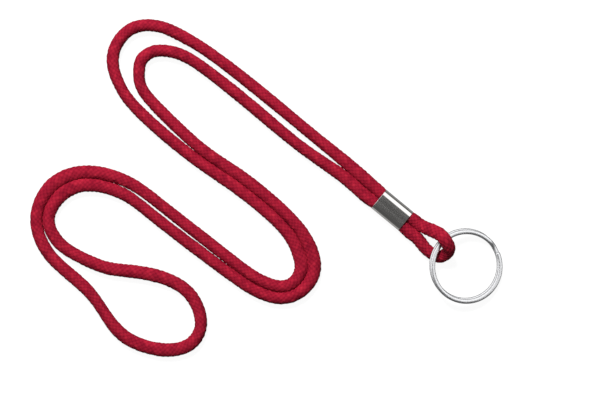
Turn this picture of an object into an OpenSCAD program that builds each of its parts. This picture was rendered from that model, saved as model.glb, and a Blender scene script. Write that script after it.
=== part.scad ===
// Neck lanyard: one round braided cord doubled into a neck loop, a folded steel crimp
// over its joined ends, and a short loop beyond the crimp that holds a split ring.
// It lies flat on a surface at z = 0, with the origin under the middle of the whole.

/* [Cord] */
// Diameter of the braided cord, mm
cord_d = 4.3; // [3.8:0.1:4.5]
// Diameter of the filler core inside the braid, mm
core_d = 2.4; // [1.6:0.1:2.8]
// Gap between the core and the inside of the braid, mm
core_gap = 0.1; // [0.05:0.05:0.2]

/* [Crimp] */
// Length of the crimp along the cord, mm
crimp_length = 13.2; // [10:0.2:16]
// Outer width of the crimp, mm
crimp_width = 9; // [8:0.1:9.6]
// Outer thickness of the crimp, mm
crimp_thick = 4.9; // [4.6:0.1:5.4]
// Thickness of the folded steel sheet, mm
crimp_wall = 0.6; // [0.4:0.05:0.7]
// Width of the seam where the sheet's edges meet, mm
seam_gap = 0.25; // [0.1:0.05:0.5]
// Where the middle of the crimp lies, across
crimp_x = 47.4; // [46:0.1:49]
// Where the middle of the crimp lies, up the surface
crimp_y = -8.15; // [-9:0.05:-7]
// Turn of the crimp about the vertical, degrees
crimp_turn = -39.5; // [-42:0.5:-36]

/* [Flexing stretches] */
// Cord held straight between the crimp's neck mouth and the bend there, mm
neck_tail = 6; // [4:0.5:8]
// Cord held straight between the crimp's ring mouth and the bend there, mm
ring_tail = 5; // [4:0.5:6]

/* [Split ring] */
// Outer diameter of the split ring, mm
ring_od = 28; // [26:0.5:30]
// Width of the flattened wire, mm
wire_width = 1.8; // [1.4:0.1:2]
// Thickness of the flattened wire, mm
wire_thick = 1; // [0.8:0.05:1.1]
// Gap between the ring's two turns, mm
turn_gap = 0.08; // [0.05:0.01:0.12]
// How far the lower turn sits off centre, mm
turn_shift = 0.4; // [0:0.1:0.5]
// Tilt of the ring where it leans on the cord, degrees
ring_tilt = 10.5; // [10:0.5:12]

/* [Hidden] */
$fn = 64;

// The cord is swept with this many flat sides, one of them resting on the surface.
sides = 8;
flat_factor = cos(180 / sides);
lay_z = cord_d / 2 * flat_factor;
cord_red = [0.72, 0.07, 0.16];
core_white = [0.9, 0.88, 0.85];
steel = [0.62, 0.62, 0.6];

// Inside the crimp each strand is squeezed to this half width and half height.
hollow_w = crimp_width - 2 * crimp_wall;
hollow_h = crimp_thick - 2 * crimp_wall;
squeezed_w = hollow_w / 4 - 0.05;
squeezed_h = hollow_h / 2 - 0.1;
squeezed_gap = hollow_w / 4 - 0.02;
// Half the distance between the two strands where they bend outside the crimp.
bend_gap = 2.35;
end_gap = 0.3;

// The two strands lie side by side from the crimp to the open end of the neck loop.
// Each row is a point on the line midway between them, and half their distance apart.
pair_route = [
    [29.5, 7, 2.4],
    [15, 18, 3.1],
    [-3.4, 33.2, 3.1],
    [-21.9, 47.7, 3],
    [-32.5, 54, 3.3],
    [-41, 56.5, 4.6],
    [-48.5, 55, 5.7],
    [-52.8, 48.5, 5.3],
    [-51.8, 40.4, 3.9],
    [-48, 33.5, 3.1],
    [-38.3, 23.7, 2.7],
    [-24.5, 12, 2.2],
    [-10, 2, 2.2],
    [4, -9.5, 2.2],
    [11.5, -18, 2.3],
    [14.8, -25, 2.4],
    [15.3, -31.5, 2.4],
    [11.5, -37.2, 2.2],
    [5, -39.2, 2.2],
    [-2.5, -37, 2.2],
    [-10.5, -32, 2.2],
    [-25, -21, 2.4],
    [-41.6, -8.1, 2.5],
    [-53.6, 0.3, 2.4],
    [-68, 3.7, 2.4],
    [-79.5, -1, 2.5],
    [-84.5, -11, 2.3],
    [-82, -20, 2.6],
    [-76, -26.5, 3.3],
    [-66.1, -33.1, 4.9]
];

// The open end of the neck loop, from the outer strand round to the inner one.
end_route = [
    [-62.5, -45],
    [-55.9, -53.9],
    [-47.3, -59.1],
    [-37.5, -61],
    [-28.8, -58.7],
    [-24.8, -51.5],
    [-27.1, -42.6],
    [-33.6, -36.2],
    [-44.1, -32.4],
    [-55, -30.9]
];

// The small loop beyond the crimp: over the split ring, round its tip and back under.
ring_route = [
    [61.2, -15.4, 4.8],
    [64.9, -17.2, 7.6],
    [67, -19.5, 9],
    [68.5, -23, 6.6],
    [66.3, -25.5, 3],
    [63.3, -25.2, lay_z],
    [59.7, -22.4, lay_z],
    [57.3, -19.3, lay_z]
];

// Where the ring lies, and where on it the wire crosses from one turn to the other.
ring_x = 75;
ring_y = -29.5;
ring_cross_angle = 38;
cross_span = 20;
free_end_gap = 4;
shift_angle = 110;
wire_sides = 12;
wire_step = 5;

function unit(v) = v / norm(v);
function crimp_dir() = [cos(crimp_turn), sin(crimp_turn)];
function crimp_side() = [-sin(crimp_turn), cos(crimp_turn)];

// A point at a distance along the crimp's axis from its middle, and to one side of it.
function crimp_point(along, aside, z) =
    let (p = [crimp_x, crimp_y] + along * crimp_dir() + aside * crimp_side())
    [p.x, p.y, z];

mouth = crimp_length / 2;
neck_bend = -mouth - neck_tail;
ring_bend = mouth + ring_tail;

// The pair's line starts at the bend outside the crimp's neck mouth.
function pair_line() =
    let (p = crimp_point(neck_bend, 0, 0))
    concat([[p.x, p.y, bend_gap]], pair_route);

// One strand of the pair: side is 1 for the strand on the crimp's upper side, -1 for the other.
function pair_strand(line, side) =
    let (last = len(line) - 1)
    [for (i = [0 : last])
        let (
            from = line[max(i - 1, 0)],
            to = line[min(i + 1, last)],
            along = i == 0 ? -crimp_dir() : unit([to.x - from.x, to.y - from.y])
        )
        [line[i].x + side * line[i].z * along.y, line[i].y - side * line[i].z * along.x, lay_z]
    ];

function backwards(list) = [for (i = [len(list) - 1 : -1 : 0]) list[i]];

function neck_route() =
    concat(
        pair_strand(pair_line(), 1),
        [for (p = end_route) [p.x, p.y, lay_z]],
        backwards(pair_strand(pair_line(), -1))
    );

function loop_route() =
    concat(
        [crimp_point(ring_bend, bend_gap, lay_z)],
        ring_route,
        [crimp_point(ring_bend, -bend_gap, lay_z)]
    );

// Direction of a route at one of its points; the ends take the direction given for them.
function route_dir(route, i, first, last) =
    i == 0 ? first
    : i == len(route) - 1 ? last
    : unit(unit(route[i + 1] - route[i]) + unit(route[i] - route[i - 1]));

// One ring of points round a place on a route, wide to the side and high upwards.
function ring_at(place, dir, wide, high) =
    let (
        aside = unit(cross(dir, [0, 0, 1])),
        upward = cross(aside, dir)
    )
    [for (k = [0 : sides - 1])
        let (a = 360 * (k + 0.5) / sides)
        place + wide * cos(a) * aside + high * sin(a) * upward
    ];

function route_rings(route, radius, first, last) =
    [for (i = [0 : len(route) - 1])
        ring_at(route[i], route_dir(route, i, first, last), radius, radius)];

// Triangles of the wall between one ring of points and the next, for rings that start
// at point base and have around points each.
function wall_faces(count, around, base, outward) =
    [for (i = [0 : count - 2], k = [0 : around - 1])
        let (
            a = base + i * around + k,
            b = base + i * around + (k + 1) % around,
            c = a + around,
            d = b + around
        )
        each (outward ? [[a, b, d], [a, d, c]] : [[a, d, b], [a, c, d]])
    ];

// A solid rod through rings of points.
module rod(rings) {
    count = len(rings);
    around = len(rings[0]);
    head = [for (k = [0 : around - 1]) around - 1 - k];
    foot = [for (k = [0 : around - 1]) (count - 1) * around + k];
    polyhedron(
        [for (r = rings) each r],
        concat(wall_faces(count, around, 0, true), [head, foot])
    );
}

// A hollow pipe between outer and inner rings of points.
module pipe(outer, inner) {
    count = len(outer);
    base = count * sides;
    far = (count - 1) * sides;
    head = [for (k = [0 : sides - 1])
        let (n = (k + 1) % sides)
        each [[k, base + k, base + n], [k, base + n, n]]];
    foot = [for (k = [0 : sides - 1])
        let (n = (k + 1) % sides)
        each [
            [far + k, far + n, base + far + n],
            [far + k, base + far + n, base + far + k]
        ]];
    polyhedron(
        concat([for (r = outer) each r], [for (r = inner) each r]),
        concat(
            wall_faces(count, sides, 0, true),
            wall_faces(count, sides, base, false),
            head,
            foot
        )
    );
}

axis_dir = [crimp_dir().x, crimp_dir().y, 0];

module neck_cord_sheath() {
    color(cord_red)
        pipe(
            route_rings(neck_route(), cord_d / 2, -axis_dir, axis_dir),
            route_rings(neck_route(), core_d / 2 + core_gap, -axis_dir, axis_dir)
        );
}

module neck_cord_core() {
    color(core_white)
        rod(route_rings(neck_route(), core_d / 2, -axis_dir, axis_dir));
}

module ring_loop_sheath() {
    color(cord_red)
        pipe(
            route_rings(loop_route(), cord_d / 2, axis_dir, -axis_dir),
            route_rings(loop_route(), core_d / 2 + core_gap, axis_dir, -axis_dir)
        );
}

module ring_loop_core() {
    color(core_white)
        rod(route_rings(loop_route(), core_d / 2, axis_dir, -axis_dir));
}

// Outside a mouth the strand swells from its squeezed shape to full round over this length.
swell_start = mouth + 0.1;
swell_length = 2.9;

// How squeezed a strand is at a distance along the crimp: 0 out at the bends, 1 inside.
function squeeze(along) =
    min(1, max(0, 1 - (abs(along) - swell_start) / swell_length));

// A strand inside the crimp, with the stretches outside the mouths that move with it.
module squeezed_strand(side, places) {
    rod([for (s = places)
        let (q = squeeze(s))
        ring_at(
            crimp_point(
                s,
                side * (bend_gap + q * (squeezed_gap - bend_gap)),
                lay_z + q * (crimp_thick / 2 - lay_z)
            ),
            axis_dir,
            cord_d / 2 + q * (squeezed_w - cord_d / 2),
            cord_d / 2 + q * (squeezed_h - cord_d / 2)
        )
    ]);
}

ring_places = [
    swell_start,
    swell_start + swell_length / 2,
    swell_start + swell_length,
    ring_bend
];
neck_places = [
    neck_bend,
    -swell_start - swell_length,
    -swell_start - swell_length / 2,
    -swell_start
];

module crimped_strand() {
    color(cord_red)
        squeezed_strand(-1, concat(neck_places, ring_places));
}

module crimped_end_neck() {
    color(cord_red)
        squeezed_strand(1, concat(neck_places, [-end_gap / 2]));
}

module crimped_end_ring() {
    color(cord_red)
        squeezed_strand(1, concat([end_gap / 2], ring_places));
}

// A flat strip's outline with fully round ends, centred on the origin.
module round_ended(width, height) {
    square([width - height, height], center = true);
    for (side = [-1, 1])
        translate([side * (width - height) / 2, 0])
            circle(d = height);
}

module crimp_sleeve() {
    color(steel)
        translate(crimp_point(0, 0, crimp_thick / 2))
            rotate([0, 0, crimp_turn])
                rotate([90, 0, 90])
                    linear_extrude(crimp_length, center = true)
                        difference() {
                            round_ended(crimp_width, crimp_thick);
                            round_ended(hollow_w, hollow_h);
                            translate([0, -crimp_thick / 2])
                                square([seam_gap, 3 * crimp_wall], center = true);
                        }
}

wire_radius = (ring_od - wire_width) / 2;
turn_rise = wire_thick + turn_gap;
lower_centre = turn_shift * [cos(shift_angle), sin(shift_angle), 0];

// The wire runs from its lower free end, once round, up on to the first turn and round again.
wire_start = ring_cross_angle + cross_span / 2 + free_end_gap;
wire_finish = ring_cross_angle + 720 - cross_span / 2 - free_end_gap;
cross_start = ring_cross_angle + 360 - cross_span / 2;

// Outline of the flattened wire: flat faces with round edges.
function wire_outline() =
    [for (k = [0 : wire_sides - 1])
        let (
            a = 360 * (k + 0.5) / wire_sides,
            r = wire_thick / 2 / cos(180 / wire_sides)
        )
        [sign(cos(a)) * (wire_width - wire_thick) / 2 + r * cos(a), r * sin(a)]
    ];

// How far the wire has risen from the lower turn (0) to the upper one (1) at an angle.
function wire_rise(angle) =
    let (f = min(1, max(0, (angle - cross_start) / cross_span)))
    f * f * (3 - 2 * f);

function wire_ring(angle) =
    let (
        rise = wire_rise(angle),
        outward = [cos(angle), sin(angle), 0],
        place = wire_radius * outward
            + (1 - rise) * lower_centre
            + [0, 0, wire_thick / 2 + rise * turn_rise]
    )
    [for (p = wire_outline()) place + p.x * outward + [0, 0, p.y]];

module split_ring() {
    steps = round((wire_finish - wire_start) / wire_step);
    color(steel)
        translate([ring_x, ring_y, ring_od / 2 * sin(ring_tilt)])
            rotate([0, ring_tilt, 0])
                rod([for (i = [0 : steps])
                    wire_ring(wire_start + i * (wire_finish - wire_start) / steps)]);
}

neck_cord_sheath();
neck_cord_core();
crimp_sleeve();
crimped_strand();
crimped_end_neck();
crimped_end_ring();
ring_loop_sheath();
ring_loop_core();
split_ring();
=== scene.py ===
"""Looks for a neck lanyard: braided cord doubled into a long loop, a folded steel crimp and a split ring."""

import math

import bmesh
import bpy
import numpy as np
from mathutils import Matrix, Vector


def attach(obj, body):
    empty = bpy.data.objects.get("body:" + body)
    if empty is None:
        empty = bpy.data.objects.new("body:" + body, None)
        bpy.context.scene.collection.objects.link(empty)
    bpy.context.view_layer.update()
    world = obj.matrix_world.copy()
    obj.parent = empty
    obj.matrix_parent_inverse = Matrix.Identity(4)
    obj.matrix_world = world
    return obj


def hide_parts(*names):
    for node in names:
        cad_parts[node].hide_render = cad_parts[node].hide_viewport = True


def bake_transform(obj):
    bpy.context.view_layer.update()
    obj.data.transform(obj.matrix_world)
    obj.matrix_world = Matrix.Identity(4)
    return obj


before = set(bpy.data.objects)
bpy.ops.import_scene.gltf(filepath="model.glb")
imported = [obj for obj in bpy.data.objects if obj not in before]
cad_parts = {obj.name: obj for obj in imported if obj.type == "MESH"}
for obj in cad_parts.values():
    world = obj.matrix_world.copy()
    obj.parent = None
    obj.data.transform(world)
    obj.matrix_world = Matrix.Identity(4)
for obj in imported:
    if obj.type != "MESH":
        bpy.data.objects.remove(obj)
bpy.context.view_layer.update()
MM = 0.001

# ---------------------------------------------------------------- sizes shared with the CAD, mm

CORD_D = 4.3
LIFT = CORD_D / 2
CRIMP_AT = np.array([47.4, -8.15])
CRIMP_TURN = math.radians(-39.5)
CRIMP_LENGTH, CRIMP_WIDTH, CRIMP_THICK, CRIMP_WALL = 13.2, 9.0, 4.9, 0.6
SEAM_GAP = 0.25
NECK_BEND, RING_BEND, BEND_GAP = -12.6, 11.6, 2.35
ALONG = np.array([math.cos(CRIMP_TURN), math.sin(CRIMP_TURN)])
ASIDE = np.array([-ALONG[1], ALONG[0]])
RING_AT = np.array([75.0, -29.5])
RING_OD, WIRE_WIDTH, WIRE_THICK = 28.0, 1.8, 1.0
TURN_GAP, RING_TILT, CROSS_ANGLE, CROSS_SPAN, END_GAP = 0.08, 10.5, 38.0, 20.0, 4.0
TURN_SHIFT, SHIFT_ANGLE = 0.5, 110.0

# From the crimp to the neck loop's open end: x and y midway between its two strands, half the distance
# between them, and how wide the soft cord lies there
PAIR = [
    (29.5, 7, 2.4, 4.7), (15, 18, 3.1, 4.2), (-3.4, 33.2, 3.1, 4.4), (-21.9, 47.7, 3, 4.2),
    (-32.5, 54, 3.3, 4.4), (-41, 56.5, 4.6, 4.4), (-48.5, 55, 5.7, 4.5), (-52.8, 48.5, 5.3, 4.5),
    (-51.8, 40.4, 3.9, 4.2), (-48, 33.5, 3.1, 4.2), (-38.3, 23.7, 2.7, 4.4), (-24.5, 12, 2.2, 4.4),
    (-10, 2, 2.2, 4.6), (4, -9.5, 2.2, 4.4), (11.5, -18, 2.3, 4.6), (14.8, -25, 2.4, 5),
    (15.3, -31.5, 2.4, 5), (11.5, -37.2, 2.2, 4.6), (5, -39.2, 2.2, 4.5), (-2.5, -37, 2.2, 4.4),
    (-10.5, -32, 2.2, 4.3), (-25, -21, 2.4, 4.4), (-41.6, -8.1, 2.5, 4.2), (-53.6, 0.3, 2.4, 4.5),
    (-68, 3.7, 2.4, 5), (-79.5, -1, 2.5, 5.2), (-84.5, -11, 2.3, 4.5), (-82, -20, 2.6, 4.6),
    (-76, -26.5, 3.3, 4.5), (-66.1, -33.1, 4.9, 4.6),
]
# The open end of the neck loop: x, y, width
END = [
    (-62.5, -45, 4.1), (-55.9, -53.9, 4.7), (-47.3, -59.1, 4.8), (-37.5, -61, 5), (-28.8, -58.7, 4.7),
    (-24.8, -51.5, 4.5), (-27.1, -42.6, 4.6), (-33.6, -36.2, 4.7), (-44.1, -32.4, 4.9), (-55, -30.9, 4.8),
]
# The small loop beyond the crimp: x, y, height, width
SMALL = [
    (61.2, -15.4, 4.8, 4.9), (64.9, -17.2, 7.6, 4.9), (67, -19.5, 9, 4.7), (68.5, -23, 6.6, 4.6),
    (66.3, -25.5, 3, 4.5), (63.3, -25.2, LIFT, 4.4), (59.7, -22.4, LIFT, 4.4), (57.3, -19.3, LIFT, 4.6),
]
# From the crimp's middle out to one of its mouths: distance along, distance aside, height, width
INTO_CRIMP = [
    (0.1, 1.9, CRIMP_THICK / 2, 4.5), (4.5, 1.9, CRIMP_THICK / 2, 4.5),
    (6.9, 2.12, 2.4, 4.5), (9.0, 2.26, 2.2, 4.7),
]
# The cord's width at the two bends, and how much higher the strand that climbs on to the ring lies there
BEND_WIDTH, CLIMB = 4.7, 0.2


def crimp_point(along, aside, z, width=0.0):
    """A point by its distances along the crimp's axis and to one side of it, with the cord's width there."""
    x, y = CRIMP_AT + along * ALONG + aside * ASIDE
    return (x, y, z, width)


# ---------------------------------------------------------------- camera, first

scene = bpy.context.scene
scene.view_settings.view_transform = "Standard"
# The photo's width in mm at a level 2 mm above the floor, and the point in its middle
VIEW_WIDTH, VIEW_LEVEL, VIEW_X, VIEW_Y = 226.4, 2.0, 12.6, -4.4
camera = bpy.data.objects.new("camera", bpy.data.cameras.new("camera"))
scene.collection.objects.link(camera)
scene.camera = camera
camera.data.sensor_width = 36.0
camera.data.lens = 120.0
distance = VIEW_WIDTH * camera.data.lens / camera.data.sensor_width + VIEW_LEVEL
camera.location = (VIEW_X * MM, VIEW_Y * MM, distance * MM)
camera.data.clip_start, camera.data.clip_end = 0.01, 20.0

# ---------------------------------------------------------------- curves


def smooth_curve(points, steps=24):
    """A smooth curve very close to the points: a cubic B-spline with its control points moved out."""
    p = np.array(points, float)
    p = np.vstack([2 * p[0] - p[1], p, 2 * p[-1] - p[-2]])
    c = p.copy()
    # Each pass brings the curve closer to the points
    for _ in range(6):
        c[1:-1] += p[1:-1] - (c[:-2] + 4 * c[1:-1] + c[2:]) / 6
    c[0], c[-1] = 2 * c[1] - c[2], 2 * c[-2] - c[-3]
    t = (np.arange(steps) / steps)[:, None]
    parts = []
    for i in range(1, len(c) - 2):
        a, b, d, e = c[i - 1], c[i], c[i + 1], c[i + 2]
        second = 3 * t**3 - 6 * t**2 + 4
        third = -3 * t**3 + 3 * t**2 + 3 * t + 1
        parts.append(((1 - t) ** 3 * a + second * b + third * d + t**3 * e) / 6)
    parts.append(((c[-3] + 4 * c[-2] + c[-1]) / 6)[None])
    return np.vstack(parts)


def resample(curve, step):
    """The curve's points at even distances near step, and those distances."""
    gone = np.concatenate([[0], np.cumsum(np.linalg.norm(np.diff(curve[:, :3], axis=0), axis=1))])
    count = max(2, int(round(gone[-1] / step)))
    at = np.linspace(0, gone[-1], count + 1)
    return np.stack([np.interp(at, gone, curve[:, k]) for k in range(curve.shape[1])], axis=1), at


def directions(points):
    """The curve's unit direction at each of its points."""
    d = np.gradient(points, axis=0)
    return d / np.linalg.norm(d, axis=1)[:, None]


# ---------------------------------------------------------------- the braided cord

# Yarns each way round the cord, and the distance along the cord from one yarn to the next
CARRIERS = 8
PITCH = 1.85
# How high a yarn's round back stands, how far it rises and falls as it weaves, and its room over its width:
# neighbours overlap a little
YARN_RISE, YARN_WEAVE, YARN_ROOM = 0.23, 0.10, 0.9
# No two stitches are pulled equally tight, by about this much; the unevenness repeats after so many stitches
PULL, PULL_REPEAT = 0.04, 64
# The braid is pushed together and stretched in waves along the cord: how far, over what length in mm for each
# radian, and where the wave starts
UNEVEN = [(0.55, 9.1, 0.0), (0.8, 23.7, 1.0)]
# Distance from the cord's middle to the yarns' crowns before the cord is given its width
CROWN = 2.25
# How far the crowns stand proud of the width that the cord lies at, and a factor on its height, which falls
# as its width grows
PROUD, TALL = 0.15, 1.03
# Over what length the cord is squeezed at the crimp's mouths, and how far outside them that starts
SQUEEZE_LENGTH, SQUEEZE_START = 1.1, 0.3
# Room left between the squeezed strand and the crimp's walls, sideways and upwards, and for its crowns
ROOM_ASIDE, ROOM_ABOVE, ROOM_CROWNS = 0.03, 0.05, 0.07


def yarn_height(off):
    """How far a yarn stands out at a distance off its middle, in yarn counts."""
    return YARN_RISE * np.sqrt(np.clip(1 - (2 * YARN_ROOM * off) ** 2, 0, 1))


def braid_height(a, b):
    """How far the braid stands out where the yarn counts are a one way round the cord and b the other way."""
    i, j = np.round(a), np.round(b)
    one = yarn_height(a - i) + YARN_WEAVE * np.cos(np.pi * (b + i))
    two = yarn_height(b - j) - YARN_WEAVE * np.cos(np.pi * (a + j))
    return np.maximum(one, two)


def squeeze_at(along):
    """1 inside the crimp, falling to 0 just outside its mouths, where the cord swells again."""
    t = np.clip((CRIMP_LENGTH / 2 + SQUEEZE_START - np.abs(along)) / SQUEEZE_LENGTH, 0, 1)
    return t * t * (3 - 2 * t)


def add_mesh(name, verts, faces):
    """A smooth-shaded object from points in mm."""
    mesh = bpy.data.meshes.new(name)
    mesh.from_pydata((np.asarray(verts) * MM).tolist(), [], faces)
    mesh.polygons.foreach_set("use_smooth", np.ones(len(mesh.polygons), bool))
    mesh.update()
    obj = bpy.data.objects.new(name, mesh)
    scene.collection.objects.link(obj)
    return obj


def cord_mesh(name, centres, around, step):
    """A braided tube along the centres (x, y, z, width), squeezed where it passes into the crimp."""
    line, at = resample(centres, step)
    line, width = line[:, :3], line[:, 3]
    run = directions(line)
    aside = np.cross(run, [0, 0, 1.0])
    aside /= np.linalg.norm(aside, axis=1)[:, None]
    up = np.cross(aside, run)
    theta = np.arange(around) * 2 * math.pi / around
    turn = CARRIERS * np.arange(around) / around
    along = (line[:, :2] - CRIMP_AT) @ ALONG
    off = np.abs((line[:, :2] - CRIMP_AT) @ ASIDE)
    q = np.where(off < CRIMP_WIDTH / 2, squeeze_at(along), 0.0)
    count = (at + sum(much * np.sin(at / over + start) for much, over, start in UNEVEN)) / PITCH
    a = turn[None, :] - count[:, None]
    b = turn[None, :] + count[:, None]
    pulls = np.random.default_rng(7).normal(0, 1, (PULL_REPEAT, PULL_REPEAT))
    pull = pulls[np.round(a).astype(int) % PULL_REPEAT, np.round(b).astype(int) % PULL_REPEAT]
    height = braid_height(a, b) + PULL * np.clip(pull, -2, 2)
    full = CROWN - YARN_RISE - YARN_WEAVE + height
    spread = width / 2 + PROUD
    hollow_w = (CRIMP_WIDTH - 2 * CRIMP_WALL) / 4 - ROOM_ASIDE
    hollow_h = (CRIMP_THICK - 2 * CRIMP_WALL) / 2 - ROOM_ABOVE
    wide = full * ((1 - q) * spread / CROWN + q * hollow_w / (CROWN + ROOM_CROWNS))[:, None]
    high = full * ((1 - q) * LIFT * TALL / spread + q * hollow_h / (CROWN + ROOM_CROWNS))[:, None]
    co = (
        line[:, None, :]
        + aside[:, None, :] * (wide * np.cos(theta))[:, :, None]
        + up[:, None, :] * (high * np.sin(theta))[:, :, None]
    )
    rows = len(line)
    index = np.arange(rows * around).reshape(rows, around)
    nxt = np.roll(index, -1, axis=1)
    quads = np.stack([index[:-1], index[1:], nxt[1:], nxt[:-1]], axis=-1).reshape(-1, 4)
    verts = np.vstack([co.reshape(-1, 3), line[0], line[-1]])
    head, foot = rows * around, rows * around + 1
    caps = [(int(index[0, k]), int(nxt[0, k]), head) for k in range(around)]
    caps += [(int(nxt[-1, k]), int(index[-1, k]), foot) for k in range(around)]
    obj = add_mesh(name, verts, quads.tolist() + caps)
    mesh = obj.data
    # Along the cord and round it, in yarn counts, so that the yarns can be drawn in the material
    uv = np.zeros((len(quads), 4, 2))
    row, col = np.divmod(np.arange(len(quads)), around)
    for corner, (dr, dc) in enumerate([(0, 0), (1, 0), (1, 1), (0, 1)]):
        uv[:, corner, 0] = (col + dc) * CARRIERS / around
        uv[:, corner, 1] = count[row + dr]
    layer = mesh.uv_layers.new(name="yarns")
    flat = np.zeros((len(mesh.loops), 2))
    flat[: len(quads) * 4] = uv.reshape(-1, 2)
    layer.data.foreach_set("uv", flat.astype(np.float32).ravel())
    # How high the braid stands at each point, 0 in its hollows and 1 at its crowns; the material paints shade
    # into the hollows from it
    depth = (height - height.min()) / (height.max() - height.min())
    mark = mesh.attributes.new("crown_shade", "FLOAT", "POINT")
    mark.data.foreach_set("value", np.append(depth.ravel(), [0, 0]).astype(np.float32))
    return obj, line


def strand(side):
    """One strand of the neck loop, from the bend outside the crimp to the open end."""
    p = np.array([(*crimp_point(NECK_BEND, 0, 0)[:2], BEND_GAP, BEND_WIDTH)] + PAIR, float)
    out = []
    for i in range(len(p)):
        run = -ALONG if i == 0 else (p[min(i + 1, len(p) - 1)] - p[max(i - 1, 0)])[:2]
        run = run / np.linalg.norm(run)
        apart = side * p[i, 2]
        out.append((p[i, 0] + apart * run[1], p[i, 1] - apart * run[0], LIFT, p[i, 3]))
    return out


def into_crimp(side, sign):
    """The stretch from the crimp's middle out towards its neck mouth (sign -1) or its ring mouth (sign 1)."""
    return [crimp_point(sign * along, side * aside, z, width) for along, aside, z, width in INTO_CRIMP]


neck_points = (
    into_crimp(1, -1)
    + strand(1)
    + [(x, y, LIFT, width) for x, y, width in END]
    + strand(-1)[::-1]
    + into_crimp(-1, -1)[::-1]
)
small_points = (
    into_crimp(1, 1)
    + [crimp_point(RING_BEND, BEND_GAP, LIFT + CLIMB, BEND_WIDTH)]
    + SMALL
    + [crimp_point(RING_BEND, -BEND_GAP, LIFT, BEND_WIDTH)]
    + into_crimp(-1, 1)[::-1]
)

# Points round each cord, and the step along it; the small loop bends tighter, so it is finer
NECK_MESH, SMALL_MESH = (48, 0.44), (72, 0.24)
neck_cord, neck_line = cord_mesh("neck_cord", smooth_curve(neck_points), *NECK_MESH)
small_cord, small_line = cord_mesh("small_loop_cord", smooth_curve(small_points), *SMALL_MESH)


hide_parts("neck_cord_sheath", "neck_cord_core", "crimped_strand", "crimped_end_neck")
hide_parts("ring_loop_sheath", "ring_loop_core", "crimped_end_ring")

# ---------------------------------------------------------------- materials


def material(name):
    """A new material with only a Principled shader in it, its node tree and that shader."""
    mat = bpy.data.materials.new(name)
    mat.use_nodes = True
    tree = mat.node_tree
    tree.nodes.clear()
    out = tree.nodes.new("ShaderNodeOutputMaterial")
    shader = tree.nodes.new("ShaderNodeBsdfPrincipled")
    tree.links.new(shader.outputs["BSDF"], out.inputs["Surface"])
    return mat, tree, shader


def node(tree, kind, links=(), **values):
    """A node with its settings, and links into it as (input, output socket or number)."""
    made = tree.nodes.new(kind)
    for key, value in values.items():
        setattr(made, key, value)
    for socket, value in links:
        if isinstance(value, bpy.types.NodeSocket):
            tree.links.new(value, made.inputs[socket])
        else:
            made.inputs[socket].default_value = value
    return made


def calc(tree, operation, *values):
    """The result of a Math node."""
    made = node(tree, "ShaderNodeMath", list(enumerate(values)), operation=operation)
    return made.outputs[0]


def ramp(tree, fac, stops):
    """The colour of a ramp with stops given as (place, colour)."""
    made = node(tree, "ShaderNodeValToRGB", [("Fac", fac)])
    while len(made.color_ramp.elements) < len(stops):
        made.color_ramp.elements.new(0.5)
    for element, (place, colour) in zip(made.color_ramp.elements, stops):
        element.position = place
        element.color = (*colour, 1.0)
    return made.outputs["Color"]


def mapped(tree, vector, setting, value):
    """A texture's place, turned or scaled."""
    return node(tree, "ShaderNodeMapping", [("Vector", vector), (setting, value)]).outputs[0]


def noise(tree, vector, scale, detail):
    """The value of a Noise Texture."""
    sockets = [("Vector", vector), ("Scale", scale), ("Detail", detail)]
    return node(tree, "ShaderNodeTexNoise", sockets).outputs["Fac"]


def weighted(tree, *parts):
    """The sum of the parts, each given as (value, weight)."""
    total = calc(tree, "MULTIPLY", *parts[0])
    for part in parts[1:]:
        total = calc(tree, "ADD", total, calc(tree, "MULTIPLY", *part))
    return total


def set_surface(tree, shader, colour, wear, rough, height, strength, distance):
    """Give the shader a colour, a roughness across the range rough as wear goes from 0 to 1, and a bump."""
    tree.links.new(colour, shader.inputs["Base Color"])
    sockets = [("Value", wear), ("To Min", rough[0]), ("To Max", rough[1])]
    tree.links.new(node(tree, "ShaderNodeMapRange", sockets).outputs[0], shader.inputs["Roughness"])
    sockets = [("Height", height), ("Strength", strength), ("Distance", distance)]
    tree.links.new(node(tree, "ShaderNodeBump", sockets).outputs["Normal"], shader.inputs["Normal"])


# Grain of the filaments across a yarn and along it
FINE_ACROSS, FINE_ALONG = 14.0, 1.3


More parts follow.
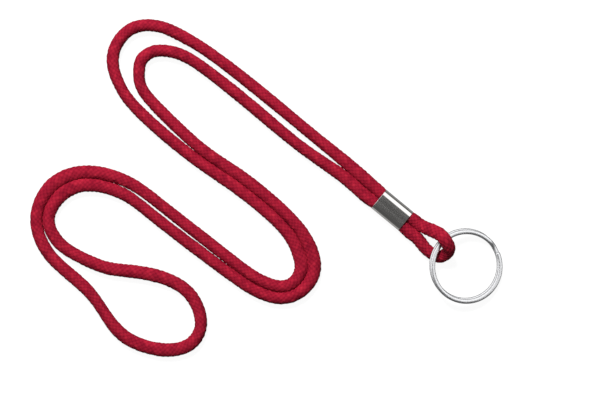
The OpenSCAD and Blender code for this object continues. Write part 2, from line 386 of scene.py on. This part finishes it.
def braid_material():
    """Crimson polyester yarns, with shade painted into the colour in the hollows between the crowns."""
    mat, tree, shader = material("crimson_braid")
    uv = node(tree, "ShaderNodeUVMap", uv_map="yarns")
    split = node(tree, "ShaderNodeSeparateXYZ", [("Vector", uv.outputs["UV"])])
    u, v = split.outputs["X"], split.outputs["Y"]
    a = calc(tree, "SUBTRACT", u, v)
    b = calc(tree, "ADD", u, v)
    # The braid's height, from which shade is painted into the hollows between the yarns
    crown_shade = node(tree, "ShaderNodeAttribute", attribute_name="crown_shade").outputs["Fac"]
    # Fine filaments along each of the two yarn directions; a stitch's place says which way its top yarn runs
    parity = calc(tree, "ADD", calc(tree, "ROUND", a), calc(tree, "ROUND", b))
    first = calc(tree, "GREATER_THAN", calc(tree, "COSINE", calc(tree, "MULTIPLY", parity, math.pi)), 0.0)
    fine = []
    for across, lengthways, seed in ((a, b, 1.7), (b, a, 9.3)):
        x, y = calc(tree, "MULTIPLY", across, FINE_ACROSS), calc(tree, "MULTIPLY", lengthways, FINE_ALONG)
        place = node(tree, "ShaderNodeCombineXYZ", [("X", x), ("Y", y), ("Z", seed)])
        fine.append(noise(tree, place.outputs[0], 1.0, 2.0))
    sockets = [("Factor", first), (2, fine[1]), (3, fine[0])]
    threads = node(tree, "ShaderNodeMix", sockets, data_type="FLOAT").outputs[0]
    # Uneven dye and wear along the cord
    patch = noise(tree, node(tree, "ShaderNodeTexCoord").outputs["Object"], 260.0, 3.0)
    stops = [
        (0.28, (0.080, 0.0020, 0.010)),
        (0.50, (0.180, 0.0045, 0.016)),
        (0.75, (0.310, 0.0110, 0.028)),
        (1.0, (0.480, 0.0320, 0.050)),
    ]
    # Painted shade in the hollows from the braid's height, with the threads' grain and random patches of dye
    colour = ramp(tree, weighted(tree, (crown_shade, 0.5), (threads, 0.26), (patch, 0.34)), stops)
    set_surface(tree, shader, colour, threads, (0.5, 0.78), threads, 0.55, 0.00008)
    shader.inputs["Sheen Weight"].default_value = 0.02
    shader.inputs["Sheen Roughness"].default_value = 0.4
    shader.inputs["Sheen Tint"].default_value = (1.0, 0.35, 0.45, 1.0)
    shader.inputs["Specular IOR Level"].default_value = 0.1
    return mat


def crimp_material():
    """Satin sheet steel with drawing lines along the crimp."""
    mat, tree, shader = material("satin_nickel_sheet")
    where = node(tree, "ShaderNodeTexCoord").outputs["Object"]
    turned = mapped(tree, where, "Rotation", (0, 0, -CRIMP_TURN))
    # Fine and broad drawing lines along the sheet, and softer smudges
    lines = noise(tree, mapped(tree, turned, "Scale", (50.0, 2000.0, 2000.0)), 1.0, 4.0)
    streak = noise(tree, mapped(tree, turned, "Scale", (20.0, 700.0, 700.0)), 1.0, 1.0)
    smudge = noise(tree, where, 420.0, 3.0)
    stops = [(0.38, (0.68, 0.665, 0.645)), (0.64, (1.0, 0.98, 0.95))]
    colour = ramp(tree, weighted(tree, (lines, 0.12), (streak, 0.88)), stops)
    set_surface(tree, shader, colour, smudge, (0.10, 0.15), lines, 0.02, 0.00001)
    shader.inputs["Metallic"].default_value = 1.0
    return mat


def ring_material():
    """Duller steel with fine scuffs."""
    mat, tree, shader = material("polished_nickel_wire")
    scuffs = noise(tree, node(tree, "ShaderNodeTexCoord").outputs["Object"], 900.0, 4.0)
    colour = ramp(tree, scuffs, [(0.3, (0.76, 0.765, 0.78)), (0.7, (0.85, 0.855, 0.87))])
    set_surface(tree, shader, colour, scuffs, (0.30, 0.42), scuffs, 0.1, 0.00002)
    shader.inputs["Metallic"].default_value = 1.0
    return mat


braid = braid_material()
neck_cord.data.materials.append(braid)
small_cord.data.materials.append(braid)

# ---------------------------------------------------------------- the crimp


def tube_mesh(name, sections):
    """A solid through sections of points, each a closed loop, with flat ends."""
    rows, around = sections.shape[:2]
    index = np.arange(rows * around).reshape(rows, around)
    nxt = np.roll(index, -1, axis=1)
    quads = np.stack([index[:-1], nxt[:-1], nxt[1:], index[1:]], axis=-1).reshape(-1, 4).tolist()
    quads.append(index[0, ::-1].tolist())
    quads.append(index[-1].tolist())
    obj = add_mesh(name, sections.reshape(-1, 3), quads)
    turned = bmesh.new()
    turned.from_mesh(obj.data)
    bmesh.ops.recalc_face_normals(turned, faces=turned.faces)
    turned.to_mesh(obj.data)
    turned.free()
    return obj


def stadium(width, height, start, finish, count):
    """Points round a stadium, each with its outward direction.

    Start and finish are shares of the way round it, counted from the bottom's middle.
    """
    r = height / 2
    flat = width - height
    whole = 2 * flat + 2 * math.pi * r
    points = []
    for s in np.linspace(start, finish, count) * whole:
        if s < flat / 2:
            points.append((s, -r, 0, -1))
        elif s < flat / 2 + math.pi * r:
            t = (s - flat / 2) / r - math.pi / 2
            points.append((flat / 2 + r * math.cos(t), r * math.sin(t), math.cos(t), math.sin(t)))
        elif s < 1.5 * flat + math.pi * r:
            points.append((flat / 2 - (s - flat / 2 - math.pi * r), r, 0, 1))
        elif s < 1.5 * flat + 2 * math.pi * r:
            t = (s - 1.5 * flat - math.pi * r) / r + math.pi / 2
            points.append((-flat / 2 + r * math.cos(t), r * math.sin(t), math.cos(t), math.sin(t)))
        else:
            points.append((-flat / 2 + (s - 1.5 * flat - 2 * math.pi * r), -r, 0, -1))
    return np.array(points)


# The rounding of the strip's edges, the steps in each rounding, and the number of sections round the fold
EDGE_ROUNDING, EDGE_STEPS, FOLD_SECTIONS = 0.08, 4, 120
# Where points stand along the strip's long sides, which keeps the smooth shading flat there
SIDE_POINTS = (0.01, 0.1, 0.2, 0.3, 0.4, 0.5, 0.6, 0.7, 0.8, 0.9, 0.99)


def crimp_mesh():
    """The folded strip: its outline, carried round a stadium from one side of the seam to the other."""
    middle_w, middle_h = CRIMP_WIDTH - CRIMP_WALL, CRIMP_THICK - CRIMP_WALL
    whole = 2 * (middle_w - middle_h) + math.pi * middle_h
    gap = SEAM_GAP / 2 / whole
    run = stadium(middle_w, middle_h, gap, 1 - gap, FOLD_SECTIONS)
    r = EDGE_ROUNDING
    long, thick = CRIMP_LENGTH / 2 - r, CRIMP_WALL / 2 - r
    outline = []
    for k, (cx, cy) in enumerate([(long, thick), (-long, thick), (-long, -thick), (long, -thick)]):
        for step in range(EDGE_STEPS + 1):
            t = (k + step / EDGE_STEPS) * math.pi / 2
            outline.append((cx + r * math.cos(t), cy + r * math.sin(t)))
        if k in (0, 2):
            side = 1 if k == 0 else -1
            for part in SIDE_POINTS:
                outline.append((cx - side * part * 2 * long, cy + side * r))
    outline = np.array(outline)
    sections = []
    for w, h, nw, nh in run:
        along, out = outline[:, 0], outline[:, 1]
        across = w + out * nw
        high = CRIMP_THICK / 2 + h + out * nh
        x = CRIMP_AT[0] + along * ALONG[0] + across * ASIDE[0]
        y = CRIMP_AT[1] + along * ALONG[1] + across * ASIDE[1]
        sections.append(np.stack([x, y, high], axis=1))
    return tube_mesh("crimp", np.array(sections))


crimp = crimp_mesh()
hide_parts("crimp_sleeve")
crimp.data.materials.append(crimp_material())

# ---------------------------------------------------------------- the split ring

# Points round the wire, steps along it, and the power that makes its outline a little squarer than an ellipse
WIRE_POINTS, WIRE_STEPS, WIRE_FLATNESS = 20, 460, 0.95
# The wire's size at its very end and one step before it, over its full size
BEVEL = (0.78, 0.93)


def ring_mesh():
    """The flattened wire, from its lower free end once round, up on to the first turn and round again."""
    radius = (RING_OD - WIRE_WIDTH) / 2
    start = CROSS_ANGLE + CROSS_SPAN / 2 + END_GAP
    finish = CROSS_ANGLE + 720 - CROSS_SPAN / 2 - END_GAP
    cross_start = CROSS_ANGLE + 360 - CROSS_SPAN / 2
    tilt = math.radians(RING_TILT)
    shift = TURN_SHIFT * np.array([math.cos(math.radians(SHIFT_ANGLE)), math.sin(math.radians(SHIFT_ANGLE))])
    k = (np.arange(WIRE_POINTS) + 0.5) * 2 * math.pi / WIRE_POINTS
    ex = np.sign(np.cos(k)) * np.abs(np.cos(k)) ** WIRE_FLATNESS
    ez = np.sign(np.sin(k)) * np.abs(np.sin(k)) ** WIRE_FLATNESS
    sections = []
    for n in range(WIRE_STEPS + 1):
        degrees = start + (finish - start) * n / WIRE_STEPS
        f = min(1.0, max(0.0, (degrees - cross_start) / CROSS_SPAN))
        rise = f * f * (3 - 2 * f)
        t = math.radians(degrees)
        outward = np.array([math.cos(t), math.sin(t), 0.0])
        height = WIRE_THICK / 2 + rise * (WIRE_THICK + TURN_GAP)
        centre = radius * outward + np.array([*(1 - rise) * shift, height])
        # The free ends are cut square with a small bevel
        edge = min(n, WIRE_STEPS - n)
        shrink = BEVEL[edge] if edge < len(BEVEL) else 1.0
        pts = (
            centre
            + np.outer(ex * WIRE_WIDTH / 2 * shrink, outward)
            + np.outer(ez * WIRE_THICK / 2 * shrink, [0, 0, 1.0])
        )
        x = pts[:, 0] * math.cos(tilt) + pts[:, 2] * math.sin(tilt)
        z = -pts[:, 0] * math.sin(tilt) + pts[:, 2] * math.cos(tilt)
        sections.append(
            np.stack([RING_AT[0] + x, RING_AT[1] + pts[:, 1], RING_OD / 2 * math.sin(tilt) + z], axis=1)
        )
    return tube_mesh("ring_wire", np.array(sections))


ring = ring_mesh()
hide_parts("split_ring")
ring.data.materials.append(ring_material())

# ---------------------------------------------------------------- bodies

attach(crimp, "crimp")
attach(ring, "ring")
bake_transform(neck_cord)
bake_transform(small_cord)

# ---------------------------------------------------------------- floor and light


def plane(name, size, z):
    """A square level plane, in metres."""
    mesh = bpy.data.meshes.new(name)
    h = size / 2
    mesh.from_pydata([(-h, -h, z), (h, -h, z), (h, h, z), (-h, h, z)], [], [(0, 1, 2, 3)])
    obj = bpy.data.objects.new(name, mesh)
    scene.collection.objects.link(obj)
    return obj


# The floor's side, and how far it lies below the cord, in metres; its colour and its glow
FLOOR_SIDE, FLOOR_DROP, FLOOR_GREY, FLOOR_GLOW = 6.0, 0.00005, 0.12, 0.93
floor = plane("floor", FLOOR_SIDE, -FLOOR_DROP)
mat, tree, shader = material("white_sweep")
shader.inputs["Base Color"].default_value = (FLOOR_GREY, FLOOR_GREY, FLOOR_GREY, 1.0)
shader.inputs["Roughness"].default_value = 0.9
shader.inputs["Specular IOR Level"].default_value = 0.0
shader.inputs["Emission Color"].default_value = (1, 1, 1, 1)
shader.inputs["Emission Strength"].default_value = FLOOR_GLOW
floor.data.materials.append(mat)
# The floor glows as a light table does, but throws no light on the object and isn't mirrored in it
floor.visible_diffuse = False
floor.visible_glossy = False


def softbox(name, azimuth, elevation, away, size, strength):
    """A square soft light that faces the middle of the scene. Azimuth is from +X towards +Y."""
    data = bpy.data.lights.new(name, "AREA")
    data.shape = "SQUARE"
    data.size = size
    data.energy = strength
    light = bpy.data.objects.new(name, data)
    scene.collection.objects.link(light)
    az, el = math.radians(azimuth), math.radians(elevation)
    spot = Vector((math.cos(az) * math.cos(el), math.sin(az) * math.cos(el), math.sin(el))) * away
    light.location = spot
    light.rotation_euler = (-spot).to_track_quat("-Z", "Y").to_euler()
    return light


key = softbox("key", azimuth=108, elevation=48, away=1.3, size=0.45, strength=29)
# The steel mirrors the studio's walls, not this light
key.visible_glossy = False

# Which ways the studio's two walls of light stand, from +X towards +Y, degrees
WALLS = (60, 130)
# Brightness of the walls, of the dim room round them and of what the steel mirrors from below
WALL_LIGHT, ROOM, BELOW = 1.2, 0.1, 0.32
# Brightness of the light on the cord, low down and overhead, and of what the camera sees past the floor
LOW_DOWN, OVERHEAD, BACKDROP = 0.04, 0.4, 0.97
# Where each fades: the walls' sides, as the cosine of an angle, and, as heights, the walls' feet, the horizon
# that the steel mirrors, and the light on the cord
WALL_SIDES, WALL_FEET, HORIZON, DOME = (0.08, 0.15), (0.25, 0.45), (-0.2, 0.0), (0.3, 1.0)


def fade(tree, value, span, start, finish):
    """From start to finish as the value crosses the span, smoothly."""
    sockets = [("Value", value), ("From Min", span[0]), ("From Max", span[1])]
    sockets += [("To Min", start), ("To Max", finish)]
    return node(tree, "ShaderNodeMapRange", sockets, interpolation_type="SMOOTHSTEP").outputs[0]


def studio():
    """Two soft walls of light in a dim room, which the steel mirrors, and overhead light for the cord."""
    world = bpy.data.worlds.new("studio")
    scene.world = world
    world.use_nodes = True
    tree = world.node_tree
    back = tree.nodes["Background"]
    way = node(tree, "ShaderNodeTexCoord").outputs["Generated"]
    height = node(tree, "ShaderNodeSeparateXYZ", [("Vector", way)]).outputs["Z"]
    walls = []
    for degrees in WALLS:
        t = math.radians(degrees)
        ahead = (math.cos(t), math.sin(t), 0)
        made = node(tree, "ShaderNodeVectorMath", [(0, way), (1, ahead)], operation="DOT_PRODUCT")
        walls.append(made.outputs["Value"])
    sides = fade(tree, calc(tree, "MAXIMUM", *walls), WALL_SIDES, 0, 1)
    wall = calc(tree, "MULTIPLY", sides, fade(tree, height, WALL_FEET, 0, 1))
    room = fade(tree, height, HORIZON, BELOW, ROOM)
    mirrored = calc(tree, "ADD", calc(tree, "MULTIPLY", wall, WALL_LIGHT), room)
    light = fade(tree, height, DOME, LOW_DOWN, OVERHEAD)
    rays = node(tree, "ShaderNodeLightPath")
    for kind, brightness in (("Is Glossy Ray", mirrored), ("Is Camera Ray", BACKDROP)):
        sockets = [("Factor", rays.outputs[kind]), (2, light), (3, brightness)]
        light = node(tree, "ShaderNodeMix", sockets, data_type="FLOAT").outputs[0]
    back.inputs["Color"].default_value = (1, 1, 1, 1)
    tree.links.new(light, back.inputs["Strength"])


studio()
